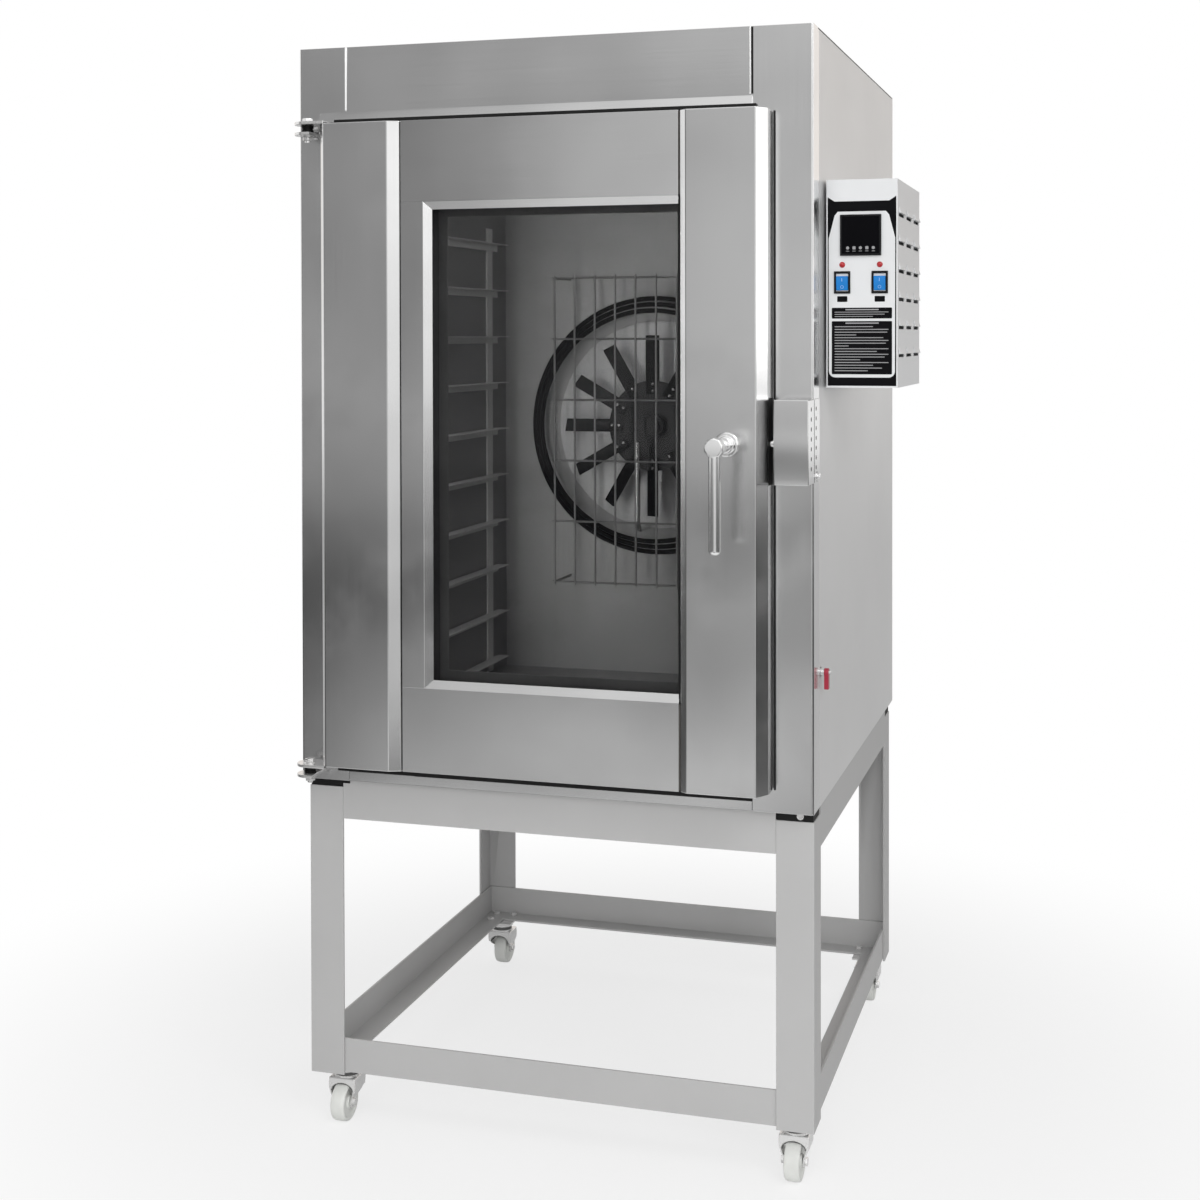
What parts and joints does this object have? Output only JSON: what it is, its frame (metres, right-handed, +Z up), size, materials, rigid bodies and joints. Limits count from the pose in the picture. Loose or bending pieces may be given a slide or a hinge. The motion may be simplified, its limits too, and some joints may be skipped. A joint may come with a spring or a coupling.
{
  "type": "convection oven",
  "caption": "Tall rack convection oven on a wheeled angle-iron stand, with a glazed side-hinged door, lever latch, rear fan and side control box.",
  "frame": {"origin": "on the floor under the middle of the oven's box", "axes": "+Z up, door towards -Y, control box towards +X"},
  "size_m": [0.98, 1.1024, 1.8],
  "materials": {
    "stainless": "brushed",
    "side_sheet": "satin",
    "galvanised": "satin",
    "liner_steel": "satin",
    "stand_paint": "satin silver paint",
    "zinc": "zinc plated",
    "nylon": "matte",
    "glass": "tinted",
    "wool": "matte",
    "gasket": "matte",
    "heater": "dark oxidised",
    "motor": "cast",
    "chrome": "polished",
    "plate_white": "printed white",
    "black_plastic": "satin",
    "blue_plastic": "gloss",
    "red_lens": "gloss",
    "red_plastic": "gloss"
  },
  "bodies": {
    "oven": {"back_panel": "galvanised", "base_panel": "galvanised", "cable_gland": "black_plastic", "caster_plates": "zinc", "chamber_back_wall": "liner_steel", "chamber_liner": "liner_steel", "contactor": "black_plastic", "control_box": "side_sheet", "control_plate": "plate_white", "controller": "black_plastic", "door_gasket": "gasket", "exhaust_flue": "galvanised", "fan_guard": "chrome", "fan_motor": "motor", "front_header": "stainless", "heater_rings": "heater", "hinge_brackets": "zinc", "indicator_lamps": "red_lens", "insulation": "wool", "left_stile": "stainless", "mouth_frame": "stainless", "rear_bulkhead": "galvanised", "right_stile": "stainless", "side_panels": "side_sheet", "stand_bolts": "zinc", "stand_legs": "stand_paint", "stand_rails": "stand_paint", "steam_pipe": "stainless", "strike_box": "stainless", "switch_frames": "black_plastic", "temperature_probe": "chrome", "top_panel": "stainless", "tray_racks": "liner_steel", "valve_body": "chrome"},
    "door": {"door_left_pilaster": "stainless", "door_right_pilaster": "stainless", "door_rails": "stainless", "door_window_stile": "stainless", "door_glass": "glass", "door_inner_panel": "liner_steel", "door_insulation": "wool", "hinge_leaves": "zinc", "hinge_bolts": "zinc", "latch_case": "zinc", "handle_rose": "chrome"},
    "lever": {"lever_handle": "chrome"},
    "latch": {"latch_bolt": "chrome"},
    "fan": {"motor_shaft": "zinc", "fan_wheel": "galvanised"},
    "valve": {"valve_lever": "red_plastic"},
    "rocker_left": {"rocker_left": "blue_plastic"},
    "rocker_right": {"rocker_right": "blue_plastic"},
    "caster_front_left": {"caster_fork_front_left": "zinc"},
    "wheel_front_left": {"caster_wheel_front_left": "nylon"},
    "caster_front_right": {"caster_fork_front_right": "zinc"},
    "wheel_front_right": {"caster_wheel_front_right": "nylon"},
    "caster_rear_left": {"caster_fork_rear_left": "zinc"},
    "wheel_rear_left": {"caster_wheel_rear_left": "nylon"},
    "caster_rear_right": {"caster_fork_rear_right": "zinc"},
    "wheel_rear_right": {"caster_wheel_rear_right": "nylon"}
  },
  "joints": [
    {"name": "door_hinge", "type": "hinge", "parent": "oven", "child": "door", "pos_m": [-0.458, -0.43375, 1.15], "axis": [0, 0, -1], "range_deg": [0, 165]},
    {"name": "lever_turn", "type": "hinge", "parent": "door", "child": "lever", "pos_m": [0.248, -0.54075, 1.16], "axis": [0, 1, 0], "range_deg": [0, 90]},
    {"name": "latch_slide", "type": "slide", "parent": "door", "child": "latch", "axis": [-1, 0, 0], "range_m": [0, 0.01]},
    {"name": "fan_spin", "type": "hinge", "parent": "oven", "child": "fan", "pos_m": [-0.06, 0.25125, 1.15], "axis": [0, 1, 0], "continuous": true},
    {"name": "valve_turn", "type": "hinge", "parent": "oven", "child": "valve", "pos_m": [0.387, -0.33875, 0.8], "axis": [1, 0, 0], "range_deg": [0, 90]},
    {"name": "rocker_left_tilt", "type": "hinge", "parent": "oven", "child": "rocker_left", "pos_m": [0.4, -0.30675, 1.4075], "axis": [-1, 0, 0], "range_deg": [0, 16]},
    {"name": "rocker_right_tilt", "type": "hinge", "parent": "oven", "child": "rocker_right", "pos_m": [0.4585, -0.30675, 1.4075], "axis": [-1, 0, 0], "range_deg": [0, 16]},
    {"name": "caster_front_left_swivel", "type": "hinge", "parent": "oven", "child": "caster_front_left", "pos_m": [-0.441, -0.33175, 0.08], "axis": [0, 0, 1], "continuous": true},
    {"name": "wheel_front_left_spin", "type": "hinge", "parent": "caster_front_left", "child": "wheel_front_left", "pos_m": [-0.441, -0.34475, 0.0315], "axis": [1, 0, 0], "continuous": true},
    {"name": "caster_front_right_swivel", "type": "hinge", "parent": "oven", "child": "caster_front_right", "pos_m": [0.33, -0.33175, 0.08], "axis": [0, 0, 1], "continuous": true},
    {"name": "wheel_front_right_spin", "type": "hinge", "parent": "caster_front_right", "child": "wheel_front_right", "pos_m": [0.33, -0.34475, 0.0315], "axis": [1, 0, 0], "continuous": true},
    {"name": "caster_rear_left_swivel", "type": "hinge", "parent": "oven", "child": "caster_rear_left", "pos_m": [-0.441, 0.43925, 0.08], "axis": [0, 0, 1], "continuous": true},
    {"name": "wheel_rear_left_spin", "type": "hinge", "parent": "caster_rear_left", "child": "wheel_rear_left", "pos_m": [-0.441, 0.45225, 0.0315], "axis": [1, 0, 0], "continuous": true},
    {"name": "caster_rear_right_swivel", "type": "hinge", "parent": "oven", "child": "caster_rear_right", "pos_m": [0.33, 0.43925, 0.08], "axis": [0, 0, 1], "continuous": true},
    {"name": "wheel_rear_right_spin", "type": "hinge", "parent": "caster_rear_right", "child": "wheel_rear_right", "pos_m": [0.33, 0.45225, 0.0315], "axis": [1, 0, 0], "continuous": true}
  ],
  "couplings": [
    {"joint": "latch_slide", "follows": "lever_turn", "m_per_rad": 0.006303}
  ]
}
